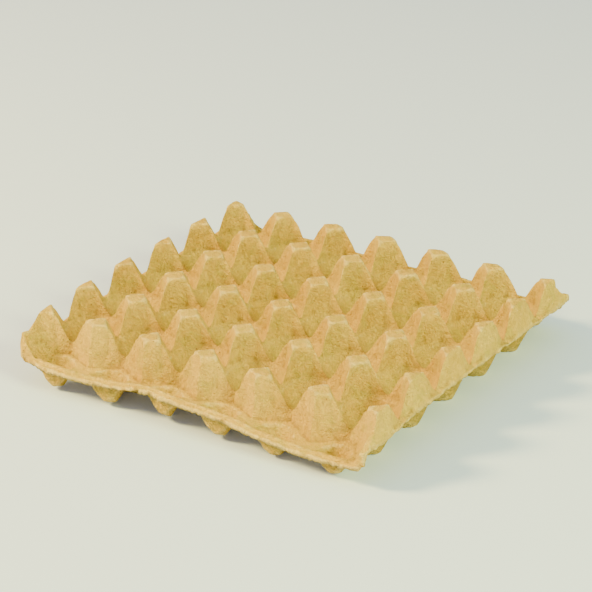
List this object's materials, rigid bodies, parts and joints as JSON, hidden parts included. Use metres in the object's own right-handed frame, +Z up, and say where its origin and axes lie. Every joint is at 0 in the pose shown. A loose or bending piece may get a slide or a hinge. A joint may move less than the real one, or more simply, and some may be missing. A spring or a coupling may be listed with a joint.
{
  "type": "egg tray",
  "caption": "Shallow moulded-pulp egg tray: one thin sheet pressed into a grid of tapered pockets between hollow posts, with half pockets and a rim along two sides",
  "frame": {"origin": "Under the middle of the tray, level with the underside of the pocket floors", "axes": "+X along the side with six pockets, +Y along the side with five pockets, +Z up"},
  "size_m": [0.295, 0.295, 0.052],
  "materials": {
    "pulp": "matte"
  },
  "bodies": {
    "root": {"egg_tray": "pulp"}
  },
  "joints": []
}
